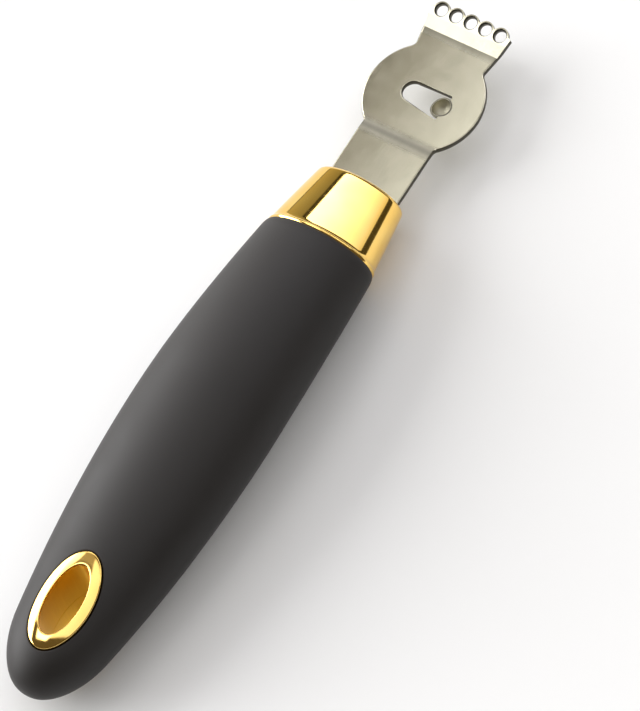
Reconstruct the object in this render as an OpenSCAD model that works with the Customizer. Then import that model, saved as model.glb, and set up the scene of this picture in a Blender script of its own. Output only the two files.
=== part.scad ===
// Citrus zester with a five-hole zesting head and a channel gouge.
// The tool lies on the back of its handle: X runs from the butt to the head,
// Z points up through the front of the blade, and the table is at Z = 0.

/* [Handle] */
// Length of the handle from the ferrule seat to the butt
handle_len = 106.2; // [95:0.1:120]
// Greatest width of the handle
handle_w = 29.5; // [27:0.5:34]
// Width of the handle at the ferrule seat
seat_w = 24.8; // [24.6:0.2:26.4]
// Width that the tapering sides run out to at the butt
tail_w = 15.6; // [14:0.2:20]
// Height of the handle's crown above the table
crown_h = 22; // [20:0.1:25]
// Height of the front of the handle at the ferrule seat
seat_h = 18.1; // [17.7:0.1:19]
// Height that the front of the handle runs out to at the butt
tail_h = 15.8; // [14.6:0.1:17]
// Height that the back of the handle rises to at the butt
tail_lift = 1.7; // [0:0.1:2.5]
// Distance from the ferrule seat to the widest place
widest_at = 43; // [30:0.5:50]
// Distance from the ferrule seat to the crown
crown_at = 34.5; // [25:0.5:45]
// Length of the straight stretch of the back
flat_back = 67.5; // [55:0.5:75]
// Length of the rounded butt
butt_len = 13.5; // [11:0.5:16]
// Fullness of the rounded butt, where 2 is an ellipse
butt_full = 2.3; // [2:0.1:3]
// Length of the rounded edge at the ferrule seat
shoulder_len = 1.8; // [0.5:0.1:3]

/* [Hang hole] */
// Distance from the butt to the middle of the hang hole
eyelet_from_butt = 17.3; // [17:0.1:24]
// Length of the eyelet's rim
eyelet_l = 20.8; // [20:0.1:24]
// Width of the eyelet's rim
eyelet_w = 11.3; // [10.6:0.1:12.5]
// Length of the hole through the eyelet
hole_l = 14.8; // [13:0.1:16.5]
// Width of the hole through the eyelet
hole_w = 7.2; // [6:0.1:7.6]
// Wall of the eyelet's tube
eyelet_wall = 1.2; // [1:0.1:1.5]
// Height of the front rim's crest above the handle
front_proud = 0.3; // [0.1:0.05:0.8]
// Depth of both rims' edges below the handle's surface
rim_sink = 0.35; // [0.2:0.05:0.6]
// Fullness of the rims, where 2 is half round and more is flatter on top
rim_full = 6; // [2:0.5:8]
// Depth of the front rim's seat below the handle at the hole's middle
front_seat = 2.9; // [2.5:0.1:3.5]
// Depth of the back rim's seat below the handle at the hole's middle
back_seat = 2.4; // [2.2:0.1:3]
// Length of the lip that joins the two halves of the eyelet
lip_l = 2.5; // [1.5:0.1:4]

/* [Ferrule] */
// Length of the ferrule
ferrule_len = 15.2; // [12:0.2:20]
// Width of the ferrule at the handle
ferrule_w = 23.9; // [23:0.1:24.2]
// Width of the ferrule at the blade
ferrule_top_w = 19.2; // [18.4:0.1:22]
// Height of the front of the ferrule at the handle
ferrule_h = 17.5; // [17:0.1:17.6]
// Height of the front of the ferrule at the blade
ferrule_top_h = 14.8; // [14:0.1:17]
// Height of the back of the ferrule above the table, at the handle
ferrule_lift = 0.5; // [0.3:0.1:0.8]
// Height of the back of the ferrule above the table, at the blade
ferrule_top_lift = 0.6; // [0.3:0.1:2]
// Wall of the ferrule
ferrule_wall = 1.1; // [0.8:0.1:1.3]
// Thickness of the ferrule's closed end
cap_t = 1.2; // [1:0.1:2]
// Rounding round the ferrule's closed end
cap_r = 0.9; // [0.5:0.1:1.3]
// Length of the bead round the ferrule's open end
bead_l = 0.9; // [0.5:0.1:1.5]
// Height of the bead
bead_h = 0.22; // [0.1:0.02:0.35]

/* [Blade] */
// Thickness of the blade's sheet
blade_t = 1.3; // [1:0.1:1.6]
// Height of the tang's front face above the table
blade_z = 8.1; // [7.5:0.1:8.5]
// Width of the tang
tang_w = 16.2; // [14:0.1:16.6]
// Diameter of the disc
disc_d = 24.9; // [22:0.1:28]
// Distance from the ferrule to the middle of the disc
disc_out = 23.4; // [20:0.1:32]
// Distance from the disc's middle to the bend of the head
bend_out = 13.9; // [13.2:0.1:16]
// Angle that the head is bent forward
head_bend = 13; // [5:1:25]
// Width of the neck where it leaves the disc
neck_w = 15.8; // [14:0.1:17]
// Width of the head at the zesting holes
head_w = 18.4; // [18:0.1:22]
// Distance from the bend to the middles of the zesting holes
hole_out = 4.4; // [3.6:0.1:7]
// Number of zesting holes
hole_count = 5; // [3:1:5]
// Spacing of the zesting holes
hole_pitch = 3.4; // [3.2:0.05:3.5]
// Diameter of a zesting hole
zest_hole_d = 2.5; // [2:0.1:2.6]
// Outer diameter of the ring round each zesting hole
ring_d = 3.5; // [3.4:0.05:3.8]
// Depth of the bevels that sharpen the rings
bevel = 0.35; // [0.1:0.05:0.5]
// Width of the bevel round each zesting hole
hole_bevel = 0.25; // [0.1:0.05:0.35]
// Step of the blade behind the disc
joggle = 0.25; // [0.1:0.05:0.6]
// Length of that step
joggle_l = 3.2; // [1.5:0.1:4]
// Radius of the fillets where neck and tang meet the disc
fillet_r = 1.2; // [0.5:0.1:2]

/* [Channel gouge] */
// Distance from the disc's middle to the round end of the slot
slot_reach = 4.8; // [4:0.1:7]
// Width of the slot at its round end
slot_w = 4.4; // [4.3:0.1:5]
// Width of the slot at the gouge
slot_wide_w = 6; // [5.8:0.1:7]
// Angle of the slot from square across the blade
slot_turn = 4; // [0:1:15]
// Rounding of the slot's ends beside the gouge
tip_r = 0.35; // [0.2:0.05:0.4]
// Distance from the disc's middle to the middle of the gouge
gouge_at = 4.2; // [3.5:0.1:5.5]
// Outer diameter of the gouge
gouge_d = 4.7; // [4:0.1:5]
// Thickness of the gouge's cutting lip
gouge_t = 0.35; // [0.3:0.05:0.8]
// Depth of the gouge's middle below the front of the disc
gouge_sink = 0.5; // [0.2:0.1:1.2]
// Angle of the gouge's rim below the front of the disc
gouge_rake = 18; // [12:1:35]

/* [Hidden tang] */
// Length of the tang inside the handle, from the ferrule seat
tang_in = 24; // [18:0.5:35]
// Width of the tang inside the handle
tang_in_w = 11; // [8:0.5:12]
// Depth of the tang's shoulders below the ferrule's closed end
tang_shoulder = 2; // [1:0.1:4]
// Diameter of the tang's locking holes
lock_d = 4.2; // [3:0.1:5]
// Distance from the tang's inner end to the first locking hole
lock_at = 5; // [4:0.5:8]
// Spacing of the locking holes
lock_pitch = 10; // [8:0.5:12]

/* [Fits] */
// Clearance round the blade in the handle and in the ferrule
blade_fit = 0.08; // [0.05:0.01:0.15]
// Clearance between the handle's neck and the ferrule
ferrule_fit = 0.1; // [0.05:0.01:0.2]
// Clearance round the eyelet, and between its two halves
eyelet_fit = 0.1; // [0.05:0.01:0.2]

/* [Smoothness] */
// Number of faces round the handle and the ferrule
round_faces = 56; // [32:4:64]
// Number of rings along the handle's body
body_rings = 26; // [14:2:32]
// Number of rings along the rounded butt
butt_rings = 10; // [6:1:12]
// Number of faces round the eyelet
eyelet_faces = 48; // [32:4:56]

/* [Hidden] */
$fn = 72;

// Small overlap that lets solids of one piece join, and cuts pass their faces
eps = 0.01;
over = 1;

// Stations along the tool
head_reach = (hole_out + ring_d / 2) * cos(head_bend) + blade_t * sin(head_bend);
total_len = handle_len + ferrule_len + disc_out + bend_out + head_reach;
butt_x = -total_len / 2;
seat_x = butt_x + handle_len;
cap_x = seat_x + ferrule_len;
disc_x = cap_x + disc_out;
bend_x = disc_x + bend_out;
neck_end_x = cap_x - tang_shoulder;
widest_x = seat_x - widest_at;
crown_x = seat_x - crown_at;
flat_end_x = seat_x - flat_back;
eyelet_x = butt_x + eyelet_from_butt;

// How quickly the handle's outlines fall away from their highest place
front_power = 1.6;
side_power = 2;
crown_power = 1.4;
barrel_power = 1.1;

// Steps along the bead, rounded edges, eyelet rims, disc, fillets, blade's step and slot ends
bead_steps = 4;
round_steps = 4;
rim_steps = 8;
disc_steps = 36;
fillet_steps = 6;
joggle_steps = 8;
tip_steps = 4;

// Outline that falls from peak at px to one value at the seat and one at the butt
function falling(x, px, peak, at_seat, at_butt, back_power) = x > px
    ? peak - (peak - at_seat) * pow((x - px) / (seat_x - px), front_power)
    : peak - (peak - at_butt) * pow((px - x) / (px - butt_x), back_power);

// How far the rounded butt has closed in, from 1 at its start to 0 at the end
function butt_close(x) = let (u = (butt_x + butt_len - x) / butt_len)
    u <= 0 ? 1 : pow(max(1 - pow(u, butt_full), 0), 1 / butt_full);

// Section of the handle at x: half width, half height and height of its middle
function handle_section(x) = let (
    side = falling(x, widest_x, handle_w / 2, seat_w / 2, tail_w / 2, side_power),
    front = falling(x, crown_x, crown_h, seat_h, tail_h, crown_power),
    rise = max(flat_end_x - x, 0) / (flat_end_x - butt_x),
    back = tail_lift * pow(rise, side_power),
    close = butt_close(x))
    [side * close, (front - back) / 2 * close, (front + back) / 2];

// Section of the ferrule at x, in the same form
function ferrule_section(x) = let (
    v = pow(max(x - seat_x, 0) / ferrule_len, barrel_power),
    side = ferrule_w / 2 + (ferrule_top_w - ferrule_w) / 2 * v,
    front = ferrule_h + (ferrule_top_h - ferrule_h) * v,
    back = ferrule_lift + (ferrule_top_lift - ferrule_lift) * v)
    [side, (front - back) / 2, (front + back) / 2];

// One oval ring of points at x, a given distance inside a section
function ring(x, section, inset) = [for (i = [0 : round_faces - 1])
    let (a = 360 * i / round_faces)
    [x, (section[0] - inset) * cos(a), section[2] + (section[1] - inset) * sin(a)]];

// Height of the handle's front or back surface over a point of its plan
function surface_z(x, y, way) = let (s = handle_section(x))
    s[2] + way * s[1] * sqrt(max(1 - pow(y / s[0], 2), 0));

// Skin over a row of rings, with flat ends, or closed into a loop
module skin(rings, loop = false) {
    n = len(rings[0]);
    last = len(rings) - 1;
    walls = [for (k = [0 : loop ? last : last - 1], i = [0 : n - 1])
        let (a = k * n, b = (k < last ? k + 1 : 0) * n, j = (i + 1) % n)
        [a + i, b + i, b + j, a + j]];
    ends = loop ? [] : [[for (i = [0 : n - 1]) i], [for (i = [n - 1 : -1 : 0]) last * n + i]];
    polyhedron([for (r = rings) each r], concat(walls, ends), convexity = 6);
}

// Oval of the eyelet's faces, and a prism on it between two heights
function oval(l, w) = [for (i = [0 : eyelet_faces - 1])
    let (a = 360 * i / eyelet_faces) [l / 2 * cos(a), w / 2 * sin(a)]];
module oval_prism(l, w, z0, z1) {
    translate([eyelet_x, 0, z0])
        linear_extrude(z1 - z0)
            polygon(oval(l, w));
}

// Heights where the eyelet's rims sit and where its halves meet
front_seat_z = surface_z(eyelet_x, 0, 1) - front_seat;
back_seat_z = surface_z(eyelet_x, 0, -1) + back_seat;
joint_z = (front_seat_z + back_seat_z) / 2;
tube_l = hole_l + 2 * eyelet_wall;
tube_w = hole_w + 2 * eyelet_wall;

// Where the slot's fingers end beside the gouge
finger_past = 0.8;
finger_y = -gouge_at - finger_past;

// Outer form of the handle: butt, body, rounded shoulder and the neck in the ferrule
module handle_body() {
    body_x = butt_x + butt_len;
    butt = [for (k = [butt_rings : -1 : 1])
        let (x = body_x - butt_len * sin(90 * k / (butt_rings + 0.3)))
        ring(x, handle_section(x), 0)];
    body = [for (k = [0 : body_rings])
        let (x = body_x + (seat_x - shoulder_len - body_x) * k / body_rings)
        ring(x, handle_section(x), 0)];
    shoulder = [for (k = [1 : round_steps])
        let (a = 90 * k / round_steps, x = seat_x - shoulder_len * (1 - sin(a)))
        ring(x, handle_section(x), (seat_w - ferrule_w) / 2 * (1 - cos(a)))];
    inset = ferrule_wall + ferrule_fit;
    neck = [for (k = [0 : bead_steps])
        let (x = seat_x + (neck_end_x - seat_x) * k / bead_steps)
        ring(x, ferrule_section(x), inset)];
    skin(concat(butt, body, shoulder, neck));
}

// Room for the tang, with the pegs that fill its locking holes left standing
module tang_room() {
    h = blade_t + 2 * blade_fit;
    w = tang_in_w + 2 * blade_fit;
    x0 = seat_x - tang_in - blade_fit;
    difference() {
        translate([x0, -w / 2, blade_z - blade_t - blade_fit])
            cube([neck_end_x + over - x0, w, h]);
        locking_holes(lock_d - 2 * blade_fit);
    }
}

// The tang's locking holes, or the pegs in them
module locking_holes(d) {
    for (k = [0 : 1])
        translate([seat_x - tang_in + lock_at + k * lock_pitch, 0, blade_z - blade_t - over])
            cylinder(h = blade_t + 2 * over, d = d);
}

// Handle, moulded in one piece with the neck that the ferrule goes over
module handle() {
    color("#33302f")
    difference() {
        handle_body();
        tang_room();
        oval_prism(tube_l + 2 * eyelet_fit, tube_w + 2 * eyelet_fit, -over, crown_h + over);
        oval_prism(eyelet_l + 2 * eyelet_fit, eyelet_w + 2 * eyelet_fit,
            front_seat_z, crown_h + over);
        oval_prism(eyelet_l + 2 * eyelet_fit, eyelet_w + 2 * eyelet_fit, -over, back_seat_z);
    }
}

// Ferrule: a tapered oval cup over the neck, with a bead at its open end
module ferrule() {
    bead = [for (k = [0 : bead_steps])
        let (x = seat_x + bead_l * k / bead_steps)
        ring(x, ferrule_section(x), -bead_h * sin(180 * k / bead_steps))];
    wall_x = seat_x + bead_l;
    wall = [for (k = [1 : round_steps])
        let (x = wall_x + (cap_x - cap_r - wall_x) * k / round_steps)
        ring(x, ferrule_section(x), 0)];
    cap = [for (k = [1 : round_steps])
        let (a = 90 * k / round_steps, x = cap_x - cap_r * (1 - sin(a)))
        ring(x, ferrule_section(x), cap_r * (1 - cos(a)))];
    inside_x = cap_x - cap_t;
    inside = [for (k = [0 : bead_steps])
        let (x = seat_x - over + (inside_x - seat_x + over) * k / bead_steps)
        ring(x, ferrule_section(x), ferrule_wall)];
    color("#d8ae3a")
    difference() {
        skin(concat(bead, wall, cap));
        skin(inside);
        translate([inside_x - over, -tang_w / 2 - blade_fit, blade_z - blade_t - blade_fit])
            cube([cap_t + 2 * over, tang_w + 2 * blade_fit, blade_t + 2 * blade_fit]);
    }
}

// Points along an arc
function arc(middle, r, a0, a1, steps) = [for (k = [0 : steps])
    let (a = a0 + (a1 - a0) * k / steps) middle + r * [cos(a), sin(a)]];

// Row of ring middles, the valleys between the rings, and a place past their tops
ring_row = hole_pitch * (hole_count - 1);
valley_out = hole_out + ring_d / 4;
head_l = hole_out + ring_d;

// Half width of the neck and head at a distance from the disc's middle
neck_at = sqrt(pow(disc_d / 2, 2) - pow(neck_w / 2, 2));
flare = (head_w - neck_w) / 2 / (bend_out + hole_out - neck_at);
function neck_half(d) = neck_w / 2 + flare * (d - neck_at);

// Middle of a fillet between the disc and an edge that passes the disc's middle
// at height w and slopes by the given angle, and its direction from that middle
fillet_reach = disc_d / 2 + fillet_r;
function fillet_angle(w, slope) = slope + asin((w * cos(slope) + fillet_r) / fillet_reach);

// Plan of one side of the sheet: hidden tang, shoulder, tang, disc, neck and head
function side_outline() = let (
    r = disc_d / 2,
    slope = atan(flare),
    back_a = 180 - fillet_angle(tang_w / 2, 0),
    front_a = fillet_angle(neck_half(0), slope),
    disc = [disc_x, 0])
    concat([[seat_x - tang_in, tang_in_w / 2], [neck_end_x, tang_in_w / 2], [neck_end_x, tang_w / 2]],
        arc(disc + fillet_reach * [cos(back_a), sin(back_a)], fillet_r, -90, back_a - 180, fillet_steps),
        arc(disc, r, back_a, front_a, disc_steps),
        arc(disc + fillet_reach * [cos(front_a), sin(front_a)], fillet_r, front_a + 180, slope + 270,
            fillet_steps),
        [[bend_x + head_l, neck_half(bend_out + head_l)]]);

// Plan of the whole sheet, past the tops of the rings
module sheet_plan() {
    side = side_outline();
    last = len(side) - 1;
    polygon(concat(side, [for (k = [last : -1 : 0]) [side[k][0], -side[k][1]]]));
}

// Share of the blade's step that lies behind the corners of the disc and the tang
joggle_place = 0.8;

// Side view of the sheet: the tang, the shallow step, the disc and the bent head
module sheet_side() {
    start_x = seat_x - tang_in - over;
    corner_x = disc_x - sqrt(pow(disc_d / 2, 2) - pow(tang_w / 2, 2));
    step = [for (k = [0 : joggle_steps])
        let (f = k / joggle_steps)
        [corner_x + (f - joggle_place) * joggle_l, joggle * (cos(180 * f) - 1) / 2]];
    along = [cos(head_bend), sin(head_bend)];
    through = blade_t * [sin(head_bend), -cos(head_bend)];
    mitre = blade_t * tan(head_bend / 2);
    tip = [bend_x, -joggle] + head_l * along;
    front = concat([[start_x, 0]], step, [[bend_x, -joggle], tip]);
    back = concat([tip + through, [bend_x + mitre, -joggle - blade_t]],
        [for (k = [joggle_steps : -1 : 0]) step[k] - [0, blade_t]], [[start_x, -blade_t]]);
    polygon(concat(front, back));
}

// Moves its children to the front face of the bent head, from the bend outward
module at_head() {
    translate([bend_x, 0, blade_z - joggle])
        rotate([0, -head_bend, 0])
            children();
}

// Moves its children to each zesting hole, on the back of the head
module at_zest_holes() {
    at_head()
        for (k = [0 : hole_count - 1])
            translate([hole_out, k * hole_pitch - ring_row / 2, -blade_t])
                children();
}

// Metal to keep round a zesting hole, bevelled at the back to a scalloped edge
module zest_ring() {
    translate([0, 0, bevel])
        cylinder(h = blade_t + over, d = ring_d);
    translate([0, 0, -over])
        cylinder(h = bevel + over, d1 = ring_d - 2 * (bevel + over), d2 = ring_d);
}

// Waste that is cut from the end of the head: the valleys between the rings and
// the slanting corners beside the outer rings
module head_waste() {
    valley = [valley_out, ring_row / 2 + ring_d / 4];
    corner = [hole_out, head_w / 2];
    outside = valley + 3 * (corner - valley);
    side = [valley, outside, [head_l + over, outside[1]]];
    difference() {
        at_head()
            translate([0, 0, -blade_t - over / 2])
                linear_extrude(blade_t + over)
                    polygon(concat(side, [for (k = [2 : -1 : 0]) [side[k][0], -side[k][1]]]));
        at_zest_holes()
            zest_ring();
    }
}

// Zesting hole, bevelled at the front to a sharp edge
module zest_hole() {
    translate([0, 0, -over])
        cylinder(h = blade_t + 2 * over, d = zest_hole_d);
    translate([0, 0, blade_t - bevel])
        cylinder(h = bevel + eps, d1 = zest_hole_d, d2 = zest_hole_d + 2 * hole_bevel);
}

// Slot that the cut strip of peel passes through, wider at the gouge
module slot_plan() {
    end_y = slot_reach - slot_w / 2;
    tip = [slot_wide_w / 2 - tip_r, finger_y + tip_r];
    translate([0, end_y])
        circle(d = slot_w);
    polygon(concat([[slot_w / 2, end_y], [-slot_w / 2, end_y]],
        arc([-tip[0], tip[1]], tip_r, 180, 270, tip_steps), arc(tip, tip_r, 270, 360, tip_steps)));
}

// Moves its children to the slot's own frame on the front of the disc
module at_slot() {
    translate([disc_x, 0, blade_z - joggle])
        rotate(-slot_turn)
            children();
}

// Gouge: a round bowl pressed to the back, with its free rim raked to an edge
module gouge_bowl() {
    difference() {
        intersection() {
            gouge_ball(gouge_d);
            translate([-gouge_d, -gouge_at - gouge_d, -2 * gouge_d])
                cube(2 * gouge_d);
        }
        translate([-gouge_d, finger_y, 0])
            rotate([-gouge_rake, 0, 0])
                cube(2 * gouge_d);
    }
}

// Ball that shapes the outside or the hollow of the gouge
module gouge_ball(d) {
    translate([0, -gouge_at, -gouge_sink])
        sphere(d = d);
}

// Blade, stamped from one sheet: tang, disc with its gouge, neck and bent head
module blade() {
    color("#b4b0a2")
    difference() {
        union() {
            difference() {
                bent_sheet();
                at_slot()
                    translate([0, 0, -blade_t - over])
                        linear_extrude(blade_t + 2 * over)
                            slot_plan();
            }
            at_slot()
                gouge_bowl();
        }
        head_waste();
        at_zest_holes()
            zest_hole();
        at_slot()
            gouge_ball(gouge_d - 2 * gouge_t);
        locking_holes(lock_d);
    }
}

// Tang, disc, neck and head, cut from the stepped and bent sheet
module bent_sheet() {
    intersection() {
        translate([0, disc_d, blade_z])
            rotate([90, 0, 0])
                linear_extrude(2 * disc_d)
                    sheet_side();
        linear_extrude(2 * blade_z)
            sheet_plan();
    }
}

// Oval ring of points round the hang hole, grown from the hole's edge toward the rim
function hole_ring(grow, z) = [for (p = oval(hole_l + 2 * grow, hole_w + 2 * grow))
    [eyelet_x + p[0], p[1], z]];

// One half of the eyelet: a rim that follows the handle's surface, and its tube.
// way is 1 for the front and -1 for the back.
module eyelet_half(way, proud, seat_z, tube_end, lip_in, lip_out, lip_end) {
    outer = oval(eyelet_l, eyelet_w);
    inner = oval(hole_l, hole_w);
    rim = [for (j = [0 : rim_steps])
        let (a = 180 * j / rim_steps, f = (1 - cos(a)) / 2,
            up = (rim_sink + proud) * pow(max(sin(a), 0), 2 / rim_full))
        [for (i = [0 : eyelet_faces - 1])
            let (p = outer[i] + (inner[i] - outer[i]) * f, x = eyelet_x + p[0])
            [x, p[1], surface_z(x, p[1], way) + way * (up - rim_sink)]]];
    seat = [for (p = outer) [eyelet_x + p[0], p[1], seat_z]];
    tube = [hole_ring(lip_in, lip_end), hole_ring(lip_out, lip_end), hole_ring(lip_out, tube_end),
        hole_ring(eyelet_wall, tube_end), hole_ring(eyelet_wall, seat_z)];
    rings = concat([seat], rim, tube);
    last = len(rings) - 1;
    skin(way > 0 ? rings : [for (k = [last : -1 : 0]) rings[k]], loop = true);
}

// Front half of the eyelet, with the lip that enters the back half
module eyelet_front() {
    color("#e0b640")
        eyelet_half(1, front_proud, front_seat_z, joint_z + eyelet_fit / 2,
            0, (eyelet_wall - eyelet_fit) / 2, joint_z - lip_l);
}

// Back half of the eyelet, flush with the handle and open to take the lip
module eyelet_back() {
    color("#e0b640")
        eyelet_half(-1, 0, back_seat_z, joint_z - eyelet_fit / 2,
            0, (eyelet_wall + eyelet_fit) / 2, joint_z - lip_l - eyelet_fit);
}

handle();
ferrule();
blade();
eyelet_front();
eyelet_back();
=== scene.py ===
"""Citrus zester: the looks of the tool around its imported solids.

The tool lies on the back of its handle. X runs from the butt to the zesting
head, Z points up through the front of the blade, and the table is at Z = 0.
Sizes are in millimetres until a mesh is made, and then in metres.
"""
import math

import bpy
from mathutils import Matrix, Vector


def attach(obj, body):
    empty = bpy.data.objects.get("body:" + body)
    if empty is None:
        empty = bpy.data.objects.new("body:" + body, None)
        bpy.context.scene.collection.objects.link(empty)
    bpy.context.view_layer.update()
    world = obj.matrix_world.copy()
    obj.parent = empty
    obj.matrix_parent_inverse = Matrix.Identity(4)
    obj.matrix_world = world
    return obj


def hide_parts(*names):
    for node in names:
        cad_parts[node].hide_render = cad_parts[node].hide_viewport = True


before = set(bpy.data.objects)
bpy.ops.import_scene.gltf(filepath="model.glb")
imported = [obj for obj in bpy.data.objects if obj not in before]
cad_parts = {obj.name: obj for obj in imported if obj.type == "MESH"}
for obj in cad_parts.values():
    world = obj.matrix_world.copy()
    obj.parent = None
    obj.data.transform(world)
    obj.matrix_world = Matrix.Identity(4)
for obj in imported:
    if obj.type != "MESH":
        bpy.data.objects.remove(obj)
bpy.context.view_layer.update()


# ---- Blade ----
# One strip of 1.3 mm stainless steel, stamped to its outline with the disc, the
# tapering slot and the row of zesting holes, pressed to shape at the gouge, the
# step and the bent head, and ground to a satin finish before it is hardened.
MM = 0.001
disc_x = 62.3076
step_x, step_len = disc_x - 10.4, 3.2
# Where the head bends, and how far back from it the painted shade before the bend reaches
bend_x, bend_shade_len = disc_x + 13.9, 2.2
curl_x = bend_x + 2.6
gouge_at = [c * MM for c in (62.0146, -4.1898, 7.35)]
gouge_in, gouge_out = 2.0, 2.35
# How fast the sheet's hollow and the rings' curl grow, in metres for a square metre
sheet_hollow, ring_curl = 3.4, 26
# Painted shade and extra dullness on the edge walls, the step, the bend, the gouge's bowl and its
# lip
shear_shade_and_dull, step_shade_and_dull, bend_shade_and_dull, bowl_shade_and_dull, lip_shade_and_dull = 0.85, 0.66, 0.5, 0.15, 0.6
# Rounding of the outline and the slot, which stops short of the rings and the gouge
edge_round = 0.35
rounded_to_x, gouge_clear = 77.5, 3.5
corner_angle, crease_angle = math.radians(28), math.radians(12.5)


def linear(hex_colour):
    """Linear RGBA of an sRGB colour such as #c0ffee."""
    parts = [int(hex_colour[i:i + 2], 16) / 255 for i in (1, 3, 5)]
    return [p / 12.92 if p <= 0.04045 else ((p + 0.055) / 1.055) ** 2.4 for p in parts] + [1]


def add(tree, kind, inputs=None, stops=(), **settings):
    """Adds a node, a shader node unless its kind is spelled out.

    Settings are its own. Inputs take values, sockets, or nodes for their first
    output. Stops are the places and the sRGB colours on a colour ramp.
    """
    made = tree.nodes.new(kind if "Node" in kind else "ShaderNode" + kind)
    for name, value in settings.items():
        setattr(made, name, value)
    for name, value in (inputs or {}).items():
        if isinstance(value, bpy.types.Node):
            value = value.outputs[0]
        if isinstance(value, bpy.types.NodeSocket):
            tree.links.new(value, made.inputs[name])
        else:
            made.inputs[name].default_value = value
    for k, (position, hex_colour) in enumerate(stops):
        stop = made.color_ramp.elements[k]
        stop.position, stop.color = position, linear(hex_colour)
    return made


def new_material(name):
    """Empty node material, as (material, tree)."""
    made = bpy.data.materials.new(name)
    made.use_nodes = True
    made.node_tree.nodes.clear()
    return made, made.node_tree


def satin_stainless_steel():
    """Stainless steel with a fine satin grind: a soft wide gloss, a little cloudy.

    The real grinding lines are about 0.05 mm apart, too fine for the picture, so
    they are drawn 0.3 mm apart and faint. The clouds, about 4 mm wide, are the
    mottling that tumbling leaves. The bump also turns the light as the slight
    hollow of the stamped sheet and the curl at the tips of the rings do.
    """
    made, tree = new_material("satin_stainless_steel")
    place = add(tree, "TexCoord").outputs["Object"]
    where = add(tree, "SeparateXYZ", {0: place})
    x, y = where.outputs["X"], where.outputs["Y"]
    along = add(tree, "Mapping", {"Vector": place, "Scale": (420, 3300, 3300)})
    lines = add(tree, "TexNoise", {"Vector": along, "Scale": 1, "Detail": 3, "Roughness": 0.6})
    clouds = add(tree, "TexNoise", {"Vector": place, "Scale": 260, "Detail": 4, "Roughness": 0.6})
    grit = add(tree, "TexNoise", {"Vector": place, "Scale": 2600, "Detail": 2})
    both = add(tree, "Mix", {"Factor": 0.65, "A": lines, "B": clouds})
    tint = add(tree, "ValToRGB", {"Fac": both}, stops=((0.3, "#b9b5a1"), (0.7, "#cdc8b4")))
    rough = add(tree, "MapRange", {"Value": both, "From Min": 0.3, "From Max": 0.7,
                                   "To Min": 0.2, "To Max": 0.26})
    height = add(tree, "Mix", {"Factor": 0.6, "A": lines, "B": grit})
    hollow = add(tree, "Math", {0: y, 1: y}, operation="MULTIPLY")
    hollow = add(tree, "Math", {0: hollow, 1: sheet_hollow}, operation="MULTIPLY")
    curl = add(tree, "Math", {0: x, 1: curl_x * MM}, operation="SUBTRACT")
    curl = add(tree, "Math", {0: curl, 1: 0}, operation="MAXIMUM")
    curl = add(tree, "Math", {0: curl, 1: 2}, operation="POWER")
    shape = add(tree, "Math", {0: curl, 1: ring_curl, 2: hollow}, operation="MULTIPLY_ADD")
    bent = add(tree, "Bump", {"Height": shape, "Strength": 1, "Distance": 1})
    relief = add(tree, "Bump", {"Height": height, "Strength": 0.25, "Distance": 0.008 * MM,
                                "Normal": bent})

    # Painted shade, with a duller gloss: dark outlines on the sheared edge walls outside the
    # gouge, a dark band across the pressed step, shade before the bend, and shade in the gouge's
    # bowl and on its cut lip
    facing = add(tree, "SeparateXYZ", {0: add(tree, "TexCoord").outputs["Normal"]})
    level = add(tree, "Math", {0: facing.outputs["Z"]}, operation="ABSOLUTE")
    # Edge walls that face sideways, outside the gouge's bowl, get painted shade as a dark outline
    edge_shade_mask = add(tree, "MapRange", {"Value": level, "From Min": 0.68, "From Max": 0.9,
                                     "To Min": shear_shade_and_dull, "To Max": 0})
    reach = add(tree, "VectorMath", {0: place, 1: gouge_at}, operation="DISTANCE").outputs["Value"]
    bowl = add(tree, "Math", {0: reach, 1: gouge_out * MM * 1.01}, operation="LESS_THAN")
    lip = add(tree, "Math", {0: reach, 1: (gouge_in + gouge_out) / 2 * MM,
                             2: (gouge_out - gouge_in) / 2 * MM * 0.9}, operation="COMPARE")
    outside = add(tree, "Math", {0: 1, 1: bowl}, operation="SUBTRACT")
    edge_shade_mask = add(tree, "Math", {0: edge_shade_mask, 1: outside}, operation="MULTIPLY")
    # Painted shade: a dark band across the pressed step
    from_step = add(tree, "Math", {0: x, 1: step_x * MM}, operation="SUBTRACT")
    from_step = add(tree, "Math", {0: from_step}, operation="ABSOLUTE")
    step_shade_mask = add(tree, "MapRange", {"Value": from_step, "From Max": step_len * 0.75 * MM,
                                     "To Min": step_shade_and_dull, "To Max": 0},
                  interpolation_type="SMOOTHSTEP")
    # Painted shade over the last stretch before the bend
    bend_shade_mask = add(tree, "MapRange", {"Value": x, "From Min": (bend_x - bend_shade_len) * MM,
                                  "From Max": bend_x * MM, "To Max": bend_shade_and_dull},
               interpolation_type="SMOOTHSTEP")
    before_bend = add(tree, "Math", {0: x, 1: (bend_x + 0.05) * MM}, operation="LESS_THAN")
    bend_shade_mask = add(tree, "Math", {0: bend_shade_mask, 1: before_bend}, operation="MULTIPLY")
    shade_and_dull = add(tree, "Math", {0: edge_shade_mask, 1: step_shade_mask}, operation="MAXIMUM")
    shade_and_dull = add(tree, "Math", {0: shade_and_dull, 1: bend_shade_mask}, operation="MAXIMUM")
    # Painted shade in the gouge's bowl and on its cut lip
    shade_and_dull = add(tree, "Math", {0: bowl, 1: bowl_shade_and_dull, 2: shade_and_dull}, operation="MULTIPLY_ADD")
    shade_and_dull = add(tree, "Math", {0: lip, 1: lip_shade_and_dull, 2: shade_and_dull}, operation="MULTIPLY_ADD")
    shade_and_dull = add(tree, "Math", {0: shade_and_dull, 1: shear_shade_and_dull}, operation="MINIMUM")
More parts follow.
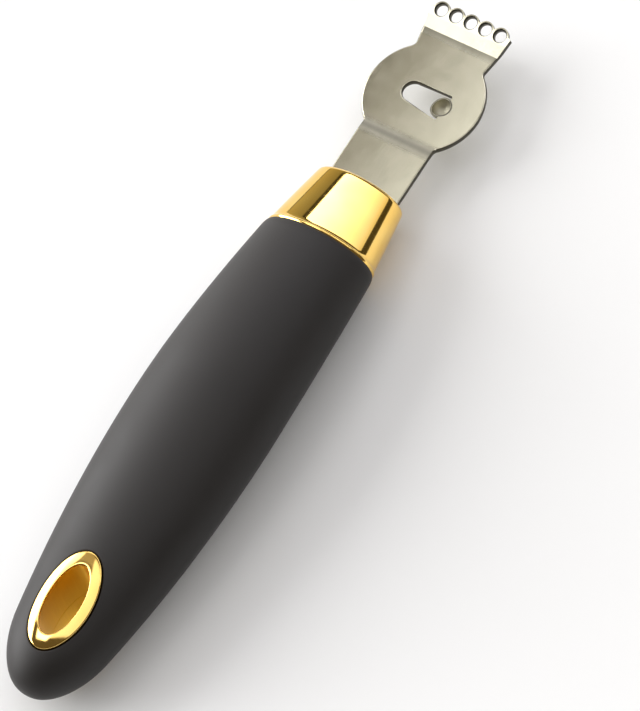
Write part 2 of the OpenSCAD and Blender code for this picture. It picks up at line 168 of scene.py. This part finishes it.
    # Painted shade: the steel's tint is mixed toward near black by the masks above
    tint = add(tree, "Mix", {"Factor": shade_and_dull, "A": tint, "B": linear("#23211d")}, data_type="RGBA")
    rough = add(tree, "Math", {0: shade_and_dull, 1: 0.25, 2: rough}, operation="MULTIPLY_ADD")
    rough = add(tree, "Math", {0: bowl, 1: 0.26, 2: rough}, operation="MULTIPLY_ADD")
    steel = add(tree, "BsdfPrincipled", {"Base Color": tint.outputs["Result"], "Metallic": 1,
                                         "Roughness": rough, "Normal": relief})
    add(tree, "OutputMaterial", {"Surface": steel})
    return made


def break_edges(piece):
    """Rounds the outline and the slot as tumbling does, and shades curved faces smooth.

    The rings and the gouge keep their own edges, which are ground and cut sharp.
    """
    weld = piece.modifiers.new("weld", "WELD")
    weld.merge_threshold = 0.002 * MM
    flats = piece.modifiers.new("whole_flats", "DECIMATE")
    flats.decimate_type = "DISSOLVE"
    flats.angle_limit = math.radians(0.2)

    # Corners of the outline and the slot get a bevel weight, and other creases
    # are marked sharp
    smooth = bpy.data.node_groups.new("smooth_by_angle", "GeometryNodeTree")
    for way in ("INPUT", "OUTPUT"):
        smooth.interface.new_socket("Geometry", in_out=way, socket_type="NodeSocketGeometry")
    angle = add(smooth, "GeometryNodeInputMeshEdgeAngle").outputs["Unsigned Angle"]
    spot = add(smooth, "GeometryNodeInputPosition")
    along = add(smooth, "SeparateXYZ", {0: spot}).outputs["X"]
    from_gouge = add(smooth, "VectorMath", {0: spot, 1: gouge_at}, operation="DISTANCE")
    corner = add(smooth, "FunctionNodeCompare", {0: angle, 1: corner_angle})
    on_body = add(smooth, "FunctionNodeCompare", {0: along, 1: rounded_to_x * MM},
                  operation="LESS_THAN")
    off_gouge = add(smooth, "FunctionNodeCompare", {0: from_gouge.outputs["Value"],
                                                    1: gouge_clear * MM})
    rounded = add(smooth, "FunctionNodeBooleanMath", {0: corner, 1: on_body})
    rounded = add(smooth, "FunctionNodeBooleanMath", {0: rounded, 1: off_gouge})
    crease = add(smooth, "FunctionNodeCompare", {0: angle, 1: crease_angle})
    sharp = add(smooth, "FunctionNodeBooleanMath", {0: crease, 1: rounded}, operation="NIMPLY")
    normals = add(smooth, "GeometryNodeSetMeshNormal",
                  {0: add(smooth, "NodeGroupInput"), "Remove Custom": True,
                   "Edge Sharpness": sharp}, mode="SHARPNESS")
    weighed = add(smooth, "GeometryNodeStoreNamedAttribute",
                  {"Geometry": normals, "Name": "bevel_weight_edge", "Value": rounded},
                  domain="EDGE", data_type="FLOAT")
    add(smooth, "NodeGroupOutput", {0: weighed})
    piece.modifiers.new("smooth_by_angle", "NODES").node_group = smooth

    bevel = piece.modifiers.new("broken_edges", "BEVEL")
    bevel.width, bevel.segments = edge_round * MM, 3
    bevel.limit_method = "WEIGHT"
    bevel.use_clamp_overlap = False
    bevel.harden_normals = True


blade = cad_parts["blade"]
blade.data.materials.clear()
blade.data.materials.append(satin_stainless_steel())
break_edges(blade)


# ---- Handle ----
# One moulding in black nylon with a soft-touch coat. It is oval in section,
# fullest before its middle, with a nearly straight back and a rounded butt. Its
# neck goes into the ferrule, and a pocket for the eyelet goes right through it.
total_len, handle_len, ferrule_len = 164.9848, 106.2, 15.2
butt_x = -total_len / 2
seat_x = butt_x + handle_len
cap_x = seat_x + ferrule_len
neck_end_x = cap_x - 2
handle_w, seat_w, tail_w, widest_x = 29.5, 24.8, 15.6, seat_x - 43
crown_h, seat_h, tail_h, crown_x = 22, 18.1, 15.8, seat_x - 34.5
tail_lift, flat_end_x = 1.7, seat_x - 67.5
front_power, side_power, crown_power = 1.6, 2, 1.4
butt_len, butt_full = 13.5, 2.3
body_x = butt_x + butt_len
# The butt closes to a small flat, just short of a point
butt_turn = math.pi / 2 * 10 / 10.3
# How far this skin lies inside the solid's
skin_in = 0.02
# The ferrule's outlines, which the neck follows inside
ferrule_w, ferrule_top_w = 23.9, 19.2
ferrule_h, ferrule_top_h = 17.5, 14.8
ferrule_lift, ferrule_top_lift = 0.5, 0.6
barrel_power = 1.1
ferrule_wall, neck_fit = 1.1, 0.1
shoulder_len, shoulder_in = 1.8, (seat_w - ferrule_w) / 2
# The room for the tang: half its width, its inner end, its bottom and its top
tang_room_half_w, tang_room_x = 5.58, seat_x - 24.1
tang_z0, tang_z1 = 6.72, 8.18
# The eyelet, and the pocket that it sits in
eyelet_x = butt_x + 17.3
eyelet_l, eyelet_w = 20.8, 11.3
hole_l, hole_w = 14.8, 7.2
eyelet_wall, eyelet_fit = 1.2, 0.1
front_seat, back_seat = 2.9, 2.4
pocket_round = 0.3
# Fineness of the mesh, and the window round the pocket that is meshed apart
handle_faces = 192
butt_rings, body_rings, shoulder_rings, neck_rings = 36, 84, 8, 8
window_reach, window_turn = 12.4, 41
patch_rings, patch_crowding, pocket_edge_rings = 10, 0.8, 5
moulded_edge = 35


def falling(x, peak_x, peak, at_seat, at_butt, back_power):
    """Outline that falls from its peak to one value at the seat and one at the butt."""
    if x > peak_x:
        return peak - (peak - at_seat) * ((x - peak_x) / (seat_x - peak_x)) ** front_power
    return peak - (peak - at_butt) * ((peak_x - x) / (peak_x - butt_x)) ** back_power


def handle_section(x):
    """Half width, half height and height of the middle of the handle at x."""
    side = falling(x, widest_x, handle_w / 2, seat_w / 2, tail_w / 2, side_power)
    front = falling(x, crown_x, crown_h, seat_h, tail_h, crown_power)
    back = tail_lift * (max(flat_end_x - x, 0) / (flat_end_x - butt_x)) ** side_power
    u = (body_x - x) / butt_len
    close = 1 if u <= 0 else max(1 - u ** butt_full, 0) ** (1 / butt_full)
    return (side - skin_in) * close, ((front - back) / 2 - skin_in) * close, (front + back) / 2


def ferrule_section(x):
    """Half width, half height and height of the middle of the ferrule at x."""
    v = (max(x - seat_x, 0) / ferrule_len) ** barrel_power
    side = ferrule_w / 2 + (ferrule_top_w - ferrule_w) / 2 * v
    front = ferrule_h + (ferrule_top_h - ferrule_h) * v
    back = ferrule_lift + (ferrule_top_lift - ferrule_lift) * v
    return side, (front - back) / 2, (front + back) / 2


def ring(x, section, inset, faces):
    """Oval ring of points at x, a given distance inside a section."""
    a, b, mid = section
    turns = [2 * math.pi * i / faces for i in range(faces)]
    return [(x, (a - inset) * math.cos(t), mid + (b - inset) * math.sin(t)) for t in turns]


def surface(x, y, way):
    """Point of the handle's front (way 1) or back (way -1) over a place in its plan."""
    a, b, mid = handle_section(x)
    return x, y, mid + way * b * math.sqrt(max(1 - (y / a) ** 2, 0))


def oval_point(t, length, width):
    """Point of an oval round the hang hole, in plan."""
    return eyelet_x + length / 2 * math.cos(t), width / 2 * math.sin(t)


def tang_ring(x, half_w, faces):
    """Ring of points round the tang's room, matched to the points of an oval ring."""
    mid, half_h = (tang_z0 + tang_z1) / 2, (tang_z1 - tang_z0) / 2
    corner = math.atan2(half_h, half_w)
    corners = {round(c * faces / 2 / math.pi): c for c in
               (corner, math.pi - corner, math.pi + corner, 2 * math.pi - corner)}
    points = []
    for i in range(faces):
        t = corners.get(i, 2 * math.pi * i / faces)
        reach = min(half_w / max(abs(math.cos(t)), 1e-9), half_h / max(abs(math.sin(t)), 1e-9))
        points.append((x, reach * math.cos(t), mid + reach * math.sin(t)))
    return points


def make_piece(name, points, faces, material, sharp):
    """Object from points in millimetres, smooth but for edges sharper than an angle."""
    mesh = bpy.data.meshes.new(name)
    mesh.from_pydata([[c * MM for c in p] for p in points], [], faces)
    mesh.shade_smooth()
    mesh.set_sharp_from_angle(angle=math.radians(sharp))
    mesh.materials.append(material)
    made = bpy.data.objects.new(name, mesh)
    bpy.context.scene.collection.objects.link(made)
    return made


def soft_touch_black():
    """Soft-touch coat on moulded nylon: matte and velvety, pale at a low angle.

    The coat's real grain is about 0.05 mm, too fine for the picture, so it is
    drawn 0.25 mm wide. Slow changes in tone and gloss are where hands and air
    have touched it.
    """
    made, tree = new_material("soft_touch_black")
    place = add(tree, "TexCoord").outputs["Object"]
    grain = add(tree, "TexNoise", {"Vector": place, "Scale": 4000, "Detail": 3, "Roughness": 0.6})
    touch = add(tree, "TexNoise", {"Vector": place, "Scale": 85, "Detail": 3, "Roughness": 0.5})
    tint = add(tree, "ValToRGB", {"Fac": touch}, stops=((0.3, "#201d1c"), (0.7, "#262322")))
    rough = add(tree, "MapRange", {"Value": touch, "From Min": 0.3, "From Max": 0.7,
                                   "To Min": 0.56, "To Max": 0.64})
    relief = add(tree, "Bump", {"Height": grain, "Strength": 0.3, "Distance": 0.02 * MM})
    coat = add(tree, "BsdfPrincipled", {
        "Base Color": tint, "Roughness": rough, "IOR": 1.45,
        "Sheen Weight": 0.04, "Sheen Roughness": 0.4, "Normal": relief})
    add(tree, "OutputMaterial", {"Surface": coat})
    return made


# Rings from the butt to the shoulder, over the neck and into the tang's room
stations = [body_x - butt_len * math.sin(butt_turn * k / butt_rings)
            for k in range(butt_rings, 0, -1)]
stations += [body_x + (seat_x - shoulder_len - body_x) * k / body_rings
             for k in range(body_rings + 1)]
shells = [ring(x, handle_section(x), 0, handle_faces) for x in stations]
for k in range(1, shoulder_rings + 1):
    turn = math.pi / 2 * k / shoulder_rings
    x = seat_x - shoulder_len * (1 - math.sin(turn))
    shells.append(ring(x, handle_section(x), shoulder_in * (1 - math.cos(turn)), handle_faces))
for k in range(neck_rings + 1):
    x = seat_x + (neck_end_x - seat_x) * k / neck_rings
    shells.append(ring(x, ferrule_section(x), ferrule_wall + neck_fit, handle_faces))
for x in (neck_end_x, tang_room_x):
    shells.append(tang_ring(x, tang_room_half_w, handle_faces))
points = [p for shell in shells for p in shell]
faces = []

# The window round the hang hole, on the front and on the back, that a patch of
# rings fills
first, last = [min(range(len(stations)), key=lambda k: abs(stations[k] - x))
               for x in (eyelet_x - window_reach, eyelet_x + window_reach)]
top = handle_faces // 4
half_window = round(handle_faces * window_turn / 360)


def in_window(k, i, middle):
    """Whether a face of the handle's grid lies in the window round the hang hole."""
    return first <= k < last and middle - half_window <= i < middle + half_window


for k in range(len(shells) - 1):
    for i in range(handle_faces):
        if in_window(k, i, top) or in_window(k, i, 3 * top):
            continue
        j = (i + 1) % handle_faces
        faces.append((k * handle_faces + i, k * handle_faces + j,
                      (k + 1) * handle_faces + j, (k + 1) * handle_faces + i))
faces.append(list(range(handle_faces))[::-1])
faces.append([(len(shells) - 1) * handle_faces + i for i in range(handle_faces)])


def window_loop(middle, way):
    """Grid points round the window, in the same order in plan on front and back."""
    low, high = middle - half_window, middle + half_window
    near = [(first, i) for i in range(low, high)]
    right = [(k, high) for k in range(first, last)]
    far = [(last, i) for i in range(high, low, -1)]
    left = [(k, low) for k in range(last, first, -1)]
    loop = [k * handle_faces + i for k, i in near + right + far + left]
    return loop if way > 0 else [loop[(2 * half_window - s) % len(loop)] for s in range(len(loop))]


def sew(row_a, row_b, flip):
    """Faces between two closed rows with as many points."""
    for i in range(len(row_a)):
        j = (i + 1) % len(row_a)
        face = (row_a[i], row_a[j], row_b[j], row_b[i])
        faces.append(face[::-1] if flip else face)


def next_row(row, spots, way):
    """Adds a closed row of points to the handle, sewn to the row before it."""
    new = list(range(len(points), len(points) + len(spots)))
    points.extend(spots)
    sew(row, new, way < 0)
    return new


pocket_l, pocket_w = eyelet_l + 2 * eyelet_fit, eyelet_w + 2 * eyelet_fit
rounded_l, rounded_w = pocket_l + 2 * pocket_round, pocket_w + 2 * pocket_round
bore_l = hole_l + 2 * (eyelet_wall + eyelet_fit)
bore_w = hole_w + 2 * (eyelet_wall + eyelet_fit)
bore_rows = []
for middle, way, seat in ((top, 1, front_seat), (3 * top, -1, back_seat)):
    row = window_loop(middle, way)
    plan = [points[i][:2] for i in row]
    turns = [math.atan2(y / pocket_w, (x - eyelet_x) / pocket_l) for x, y in plan]

    # The skin round the pocket, its rounded edge, its floor and the bore's edge
    for step in range(1, patch_rings + 1):
        share = (step / patch_rings) ** patch_crowding
        spots = []
        for (x, y), t in zip(plan, turns):
            ox, oy = oval_point(t, rounded_l, rounded_w)
            spots.append(surface(x + (ox - x) * share, y + (oy - y) * share, way))
        row = next_row(row, spots, way)
    for step in range(1, pocket_edge_rings + 1):
        turn = math.pi / 2 * step / pocket_edge_rings
        grow = 2 * pocket_round * (1 - math.sin(turn))
        spots = []
        for t in turns:
            x, y, z = surface(*oval_point(t, pocket_l + grow, pocket_w + grow), way)
            spots.append((x, y, z - way * pocket_round * (1 - math.cos(turn))))
        row = next_row(row, spots, way)
    seat_z = surface(eyelet_x, 0, way)[2] - way * seat
    for length, width in ((pocket_l, pocket_w), (bore_l, bore_w)):
        row = next_row(row, [(*oval_point(t, length, width), seat_z) for t in turns], way)
    bore_rows.append(row)
sew(bore_rows[0], bore_rows[1], False)

handle = make_piece("handle_moulding", points, faces, soft_touch_black(), moulded_edge)
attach(handle, "root")
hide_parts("handle")


# ---- Ferrule ----
# A tapered oval cup, deep drawn in brass, plated gold and polished to a mirror.
# It goes over the handle's neck, with a rolled bead at its open end and a slot
# for the tang in its closed end.
bead_l, bead_h = 0.9, 0.22
cap_r, cap_t = 0.9, 1.2
slot_half_w = 8.18
ferrule_faces = 192
bead_rings, wall_rings, cap_rings, inside_rings = 12, 24, 10, 6
drawn_edge = 35


def mirror_gold_plate():
    """Gold plate polished to a mirror: sharp reflections that waver a little.

    The slow waves are the draw and the polishing of the cup, about 6 mm long,
    and the fine lines are wiping marks, drawn 0.3 mm apart so that they show.
    """
    made, tree = new_material("mirror_gold_plate")
    place = add(tree, "TexCoord").outputs["Object"]
    waves = add(tree, "TexNoise", {"Vector": place, "Scale": 150, "Detail": 1})
    around = add(tree, "Mapping", {"Vector": place, "Scale": (3300, 500, 500)})
    wiping = add(tree, "TexNoise", {"Vector": around, "Scale": 1, "Detail": 2})
    height = add(tree, "Mix", {"Factor": 0.06, "A": waves, "B": wiping})
    relief = add(tree, "Bump", {"Height": height, "Strength": 0.4, "Distance": 0.03 * MM})
    rough = add(tree, "MapRange", {"Value": wiping, "From Min": 0.35, "From Max": 0.7,
                                   "To Min": 0.05, "To Max": 0.1})
    tint = add(tree, "ValToRGB", {"Fac": waves}, stops=((0.3, "#fdd070"), (0.7, "#ffd87e")))
    plate = add(tree, "BsdfPrincipled", {"Base Color": tint, "Metallic": 1,
                                         "Roughness": rough, "Normal": relief})
    add(tree, "OutputMaterial", {"Surface": plate})
    return made


def loop_of_rings(name, rings, material, sharp, outward=True):
    """Piece whose skin runs over a row of rings and back to the first one."""
    n = len(rings[0])
    made = []
    for k in range(len(rings)):
        following = (k + 1) % len(rings)
        for i in range(n):
            j = (i + 1) % n
            face = (k * n + i, k * n + j, following * n + j, following * n + i)
            made.append(face if outward else face[::-1])
    return make_piece(name, [p for r in rings for p in r], made, material, sharp)


rings = []
for k in range(bead_rings + 1):
    x = seat_x + bead_l * k / bead_rings
    out = bead_h * math.sin(math.pi * k / bead_rings)
    rings.append(ring(x, ferrule_section(x), -out, ferrule_faces))
wall_x = seat_x + bead_l
for k in range(1, wall_rings + 1):
    x = wall_x + (cap_x - cap_r - wall_x) * k / wall_rings
    rings.append(ring(x, ferrule_section(x), 0, ferrule_faces))
for k in range(1, cap_rings + 1):
    turn = math.pi / 2 * k / cap_rings
    x = cap_x - cap_r * (1 - math.sin(turn))
    rings.append(ring(x, ferrule_section(x), cap_r * (1 - math.cos(turn)), ferrule_faces))
for x in (cap_x, cap_x - cap_t):
    rings.append(tang_ring(x, slot_half_w, ferrule_faces))
for k in range(inside_rings + 1):
    x = cap_x - cap_t + (seat_x - cap_x + cap_t) * k / inside_rings
    rings.append(ring(x, ferrule_section(x), ferrule_wall, ferrule_faces))

gold = mirror_gold_plate()
ferrule = loop_of_rings("ferrule_cup", rings, gold, drawn_edge)
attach(ferrule, "root")
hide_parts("ferrule")


# ---- Eyelet ----
# Two stamped brass halves, plated gold and polished, that line the hang hole.
# The front one has a raised rim, the back one lies flush, and a lip on the front
# tube enters the back one half way through the handle.
front_proud, rim_sink = 0.3, 0.35
rim_corner, rim_crown, rim_relief = 0.16, 0.05, 0.1
lip_l = 2.5
front_seat_z = surface(eyelet_x, 0, 1)[2] - front_seat
back_seat_z = surface(eyelet_x, 0, -1)[2] + back_seat
joint_z = (front_seat_z + back_seat_z) / 2
eyelet_faces, rim_steps = 192, 20
eyelet_turns = [2 * math.pi * i / eyelet_faces for i in range(eyelet_faces)]
stamped_edge = 40


def hole_ring(grow, z):
    """Ring round the hang hole, a given distance outside the hole's edge."""
    return [(*oval_point(t, hole_l + 2 * grow, hole_w + 2 * grow), z) for t in eyelet_turns]


def satin_gold_bore():
    """Gold in the tubes, which no wheel can reach: soft, and a deeper gold painted for light
    bouncing round inside.

    The faint lines along the hole are left by the draw, about 0.4 mm apart.
    """
    made, tree = new_material("satin_gold_bore")
    place = add(tree, "TexCoord").outputs["Object"]
    along = add(tree, "Mapping", {"Vector": place, "Scale": (2500, 2500, 160)})
    lines = add(tree, "TexNoise", {"Vector": along, "Scale": 1, "Detail": 2})
    # Painted reflection: a deep amber gold for the light that bounces round inside the tube
    tint = add(tree, "ValToRGB", {"Fac": lines}, stops=((0.3, "#f9ca2a"), (0.7, "#fdd032")))
    rough = add(tree, "MapRange", {"Value": lines, "From Min": 0.3, "From Max": 0.7,
                                   "To Min": 0.28, "To Max": 0.32})
    wall = add(tree, "BsdfPrincipled", {"Base Color": tint, "Metallic": 1, "Roughness": rough})
    add(tree, "OutputMaterial", {"Surface": wall})
    return made


bore_gold = satin_gold_bore()


def eyelet_half(name, way, proud, seat_z, tube_end, lip_out, lip_end):
    """One half: a flat rim that follows the handle's surface, and its tube."""
    made = [[(*oval_point(t, eyelet_l, eyelet_w), seat_z) for t in eyelet_turns]]
    for j in range(rim_steps + 1):
        share = (1 - math.cos(math.pi * j / rim_steps)) / 2
        in_from_edge = min(share, 1 - share) * (eyelet_w - hole_w) / 2
        corner = max(rim_corner - in_from_edge, 0)
        up = rim_sink + proud - rim_crown * (2 * share - 1) ** 2
        up -= rim_corner - math.sqrt(max(rim_corner ** 2 - corner ** 2, 0))
        up *= 0 if j in (0, rim_steps) else 1
        row = []
        for t in eyelet_turns:
            ox, oy = oval_point(t, eyelet_l - 2 * rim_relief, eyelet_w - 2 * rim_relief)
            ix, iy = oval_point(t, hole_l, hole_w)
            x, y, z = surface(ox + (ix - ox) * share, oy + (iy - oy) * share, way)
            row.append((x, y, z + way * (up - rim_sink)))
        made.append(row)
    made += [hole_ring(0, lip_end), hole_ring(lip_out, lip_end), hole_ring(lip_out, tube_end),
             hole_ring(eyelet_wall, tube_end), hole_ring(eyelet_wall, seat_z)]
    half = loop_of_rings(name, made, gold, stamped_edge, outward=way > 0)
    half.data.materials.append(bore_gold)
    for face in half.data.polygons:
        if face.index // eyelet_faces > rim_steps:
            face.material_index = 1
    return half


eyelet_front = eyelet_half("eyelet_front_half", 1, front_proud, front_seat_z,
                           joint_z + eyelet_fit / 2, (eyelet_wall - eyelet_fit) / 2,
                           joint_z - lip_l)
eyelet_back = eyelet_half("eyelet_back_half", -1, 0, back_seat_z,
                          joint_z - eyelet_fit / 2, (eyelet_wall + eyelet_fit) / 2,
                          joint_z - lip_l - eyelet_fit)
for piece, node in ((eyelet_front, "eyelet_front"), (eyelet_back, "eyelet_back")):
    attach(piece, "root")
    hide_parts(node)


# ---- Table and studio ----
# A plain white table in a dim room, lit by a large soft key from the left. Long
# soft strips run across above the head end, and smaller soft panels hang overhead.
edge = 4
table_mesh = bpy.data.meshes.new("table")
table_mesh.from_pydata([(-edge, -edge, 0), (edge, -edge, 0), (edge, edge, 0), (-edge, edge, 0)],
                       [], [(0, 1, 2, 3)])
table = bpy.data.objects.new("table", table_mesh)
bpy.context.scene.collection.objects.link(table)


def white_table_top():
    """White laminate, matte: it keeps soft shadows and shows a touch of its grain.

    Its faint glow lifts it to the white of a lit sweep. It shows to the eye and
    in reflections, and casts no light on the tool.
    """
    made, tree = new_material("white_table_top")
    place = add(tree, "TexCoord").outputs["Object"]
    grain = add(tree, "TexNoise", {"Vector": place, "Scale": 30, "Detail": 2})
    tint = add(tree, "ValToRGB", {"Fac": grain}, stops=((0, "#e7e7e7"), (1, "#e9e9e9")))
    matte = add(tree, "BsdfDiffuse", {"Color": tint})
    glow = add(tree, "Emission", {"Color": linear("#ffffff"), "Strength": 0.06})
    rays = add(tree, "LightPath").outputs
    seen = add(tree, "Math", {0: rays["Is Camera Ray"], 1: rays["Is Glossy Ray"]},
               operation="MAXIMUM")
    seen = add(tree, "Math", {0: seen, 1: rays["Is Transmission Ray"]}, operation="MAXIMUM")
    none = add(tree, "Emission", {"Strength": 0})
    shown = add(tree, "MixShader", {"Fac": seen, 1: none, 2: glow})
    both = add(tree, "AddShader", {0: matte, 1: shown})
    add(tree, "OutputMaterial", {"Surface": both})
    return made


table_mesh.materials.append(white_table_top())

room = bpy.data.worlds.new("soft_studio")
room.use_nodes = True
bpy.context.scene.world = room
sky = room.node_tree
sky.nodes.clear()
toward = add(sky, "SeparateXYZ", {0: add(sky, "TexCoord").outputs["Generated"]}).outputs
turn_left = add(sky, "Math", {0: toward["Y"], 1: toward["Z"]}, operation="ARCTAN2")
room_light = 0.12


def within(value, low, high, soft):
    """Mask of the sky that is 1 between two values, with soft edges."""
    masks = [add(sky, "MapRange", {"Value": value, "From Min": limit - way * soft,
                                   "From Max": limit + way * soft},
                 interpolation_type="SMOOTHSTEP") for limit, way in ((low, 1), (high, -1))]
    return add(sky, "Math", {0: masks[0], 1: masks[1]}, operation="MULTIPLY")


def soft_light(before, left, ahead, strength, soft):
    """Adds a soft light to the sky, between two angles left of straight up and two
    cosines toward the head end. Its strength runs from its left to its right side."""
    high, low = [math.radians(a) for a in left]
    around = within(turn_left, low, high, math.radians(soft[0]))
    along = within(toward["X"], ahead[0], ahead[1], soft[1])
    fade = add(sky, "MapRange", {"Value": turn_left, "From Min": high, "From Max": low,
                                 "To Min": strength[0] - room_light,
                                 "To Max": strength[1] - room_light})
    shape = add(sky, "Math", {0: around, 1: along}, operation="MULTIPLY")
    return add(sky, "Math", {0: shape, 1: fade, 2: before}, operation="MULTIPLY_ADD")


lit = room_light
for light in (
        # Strips over the head end, which the ferrule shows: its pale field, which
        # dims to the right, an olive strip low on the left, and a dark gap on
        # either side
        ((46, -15), (0.53, 0.8), (4.4, 2.1), (0.8, 0.02)),
        ((-15, -70), (0.53, 0.8), (2.1, 0.85), (0.8, 0.02)),
        ((88, 54), (0.46, 0.8), (0.5, 0.26), (1, 0.03)),
        ((54, 46), (0.46, 0.8), (0.05, 0.05), (0.8, 0.03)),
        ((-70, -86), (0.41, 0.8), (0.07, 0.07), (0.8, 0.03)),
        # The key from the left
        ((88, 47), (-0.6, 0.3), (10.5, 5.5), (2, 0.03)),
        # The panel that the bent head shows, and the one that the disc shows
        ((34, 12), (-0.24, -0.03), (4.6, 4.6), (3, 0.04)),
        ((43, 12), (0.22, 0.4), (2.7, 0.0), (2, 0.03)),
        # A panel beside the key, and the dim patch next to it that the ends of
        # the eyelet's rim show
        ((47, 33), (0.02, 0.2), (4, 2), (2, 0.03)),
        ((33, 12), (0.02, 0.2), (0.45, 0.45), (2, 0.03)),
        # Two fills from the right
        ((12, -40), (-0.15, 0.16), (1.6, 1.1), (2, 0.04)),
        ((-8, -44), (0.26, 0.37), (2.5, 4), (3, 0.03))):
    lit = soft_light(lit, *light)

# The dim parts of the room are warm. Over the head end the dim strips are olive,
# and the bright ones nearly neutral.
hue = add(sky, "ValToRGB", {"Fac": lit}, stops=((0.15, "#ffeccb"), (1, "#ffffff")))
tenth = add(sky, "Math", {0: lit, 1: 0.1}, operation="MULTIPLY")
strip_hue = add(sky, "ValToRGB", {"Fac": tenth}, stops=((0.05, "#fff4c4"), (0.12, "#f7f7ff")))
over_head = add(sky, "MapRange", {"Value": toward["X"], "From Min": 0.39, "From Max": 0.42})
hue = add(sky, "Mix", {"Factor": over_head, "A": hue, "B": strip_hue}, data_type="RGBA")
backing = add(sky, "Background", {"Color": hue.outputs["Result"], "Strength": lit})
white = add(sky, "Background", {"Color": linear("#ffffff"), "Strength": 1})
seen = add(sky, "LightPath").outputs["Is Camera Ray"]
shown = add(sky, "MixShader", {"Fac": seen, 1: backing, 2: white})
add(sky, "OutputWorld", {"Surface": shown})


# ---- Camera ----
# It looks down on the front of the tool from the butt's side and from the right,
# through a long lens, turned so that the tool leans to the right.
eye = Vector((-338.0, -418.3, 955.5)) * MM
aim = Vector((4.29, -11.98, 8.0)) * MM
lean = math.radians(33.42)

lens = bpy.data.cameras.new("camera")
lens.sensor_width, lens.lens = 36, 286.2
lens.clip_start, lens.clip_end = 0.01, 20
camera = bpy.data.objects.new("camera", lens)
bpy.context.scene.collection.objects.link(camera)
back = (eye - aim).normalized()
along = (Vector((1, 0, 0)) - back * back.x).normalized()
side = along.cross(back)
up = along * math.cos(lean) - side * math.sin(lean)
right = along * math.sin(lean) + side * math.cos(lean)
turned = Matrix((right, up, back)).transposed().to_4x4()
camera.matrix_world = Matrix.Translation(eye) @ turned
bpy.context.scene.camera = camera
bpy.context.scene.view_settings.view_transform = "Standard"
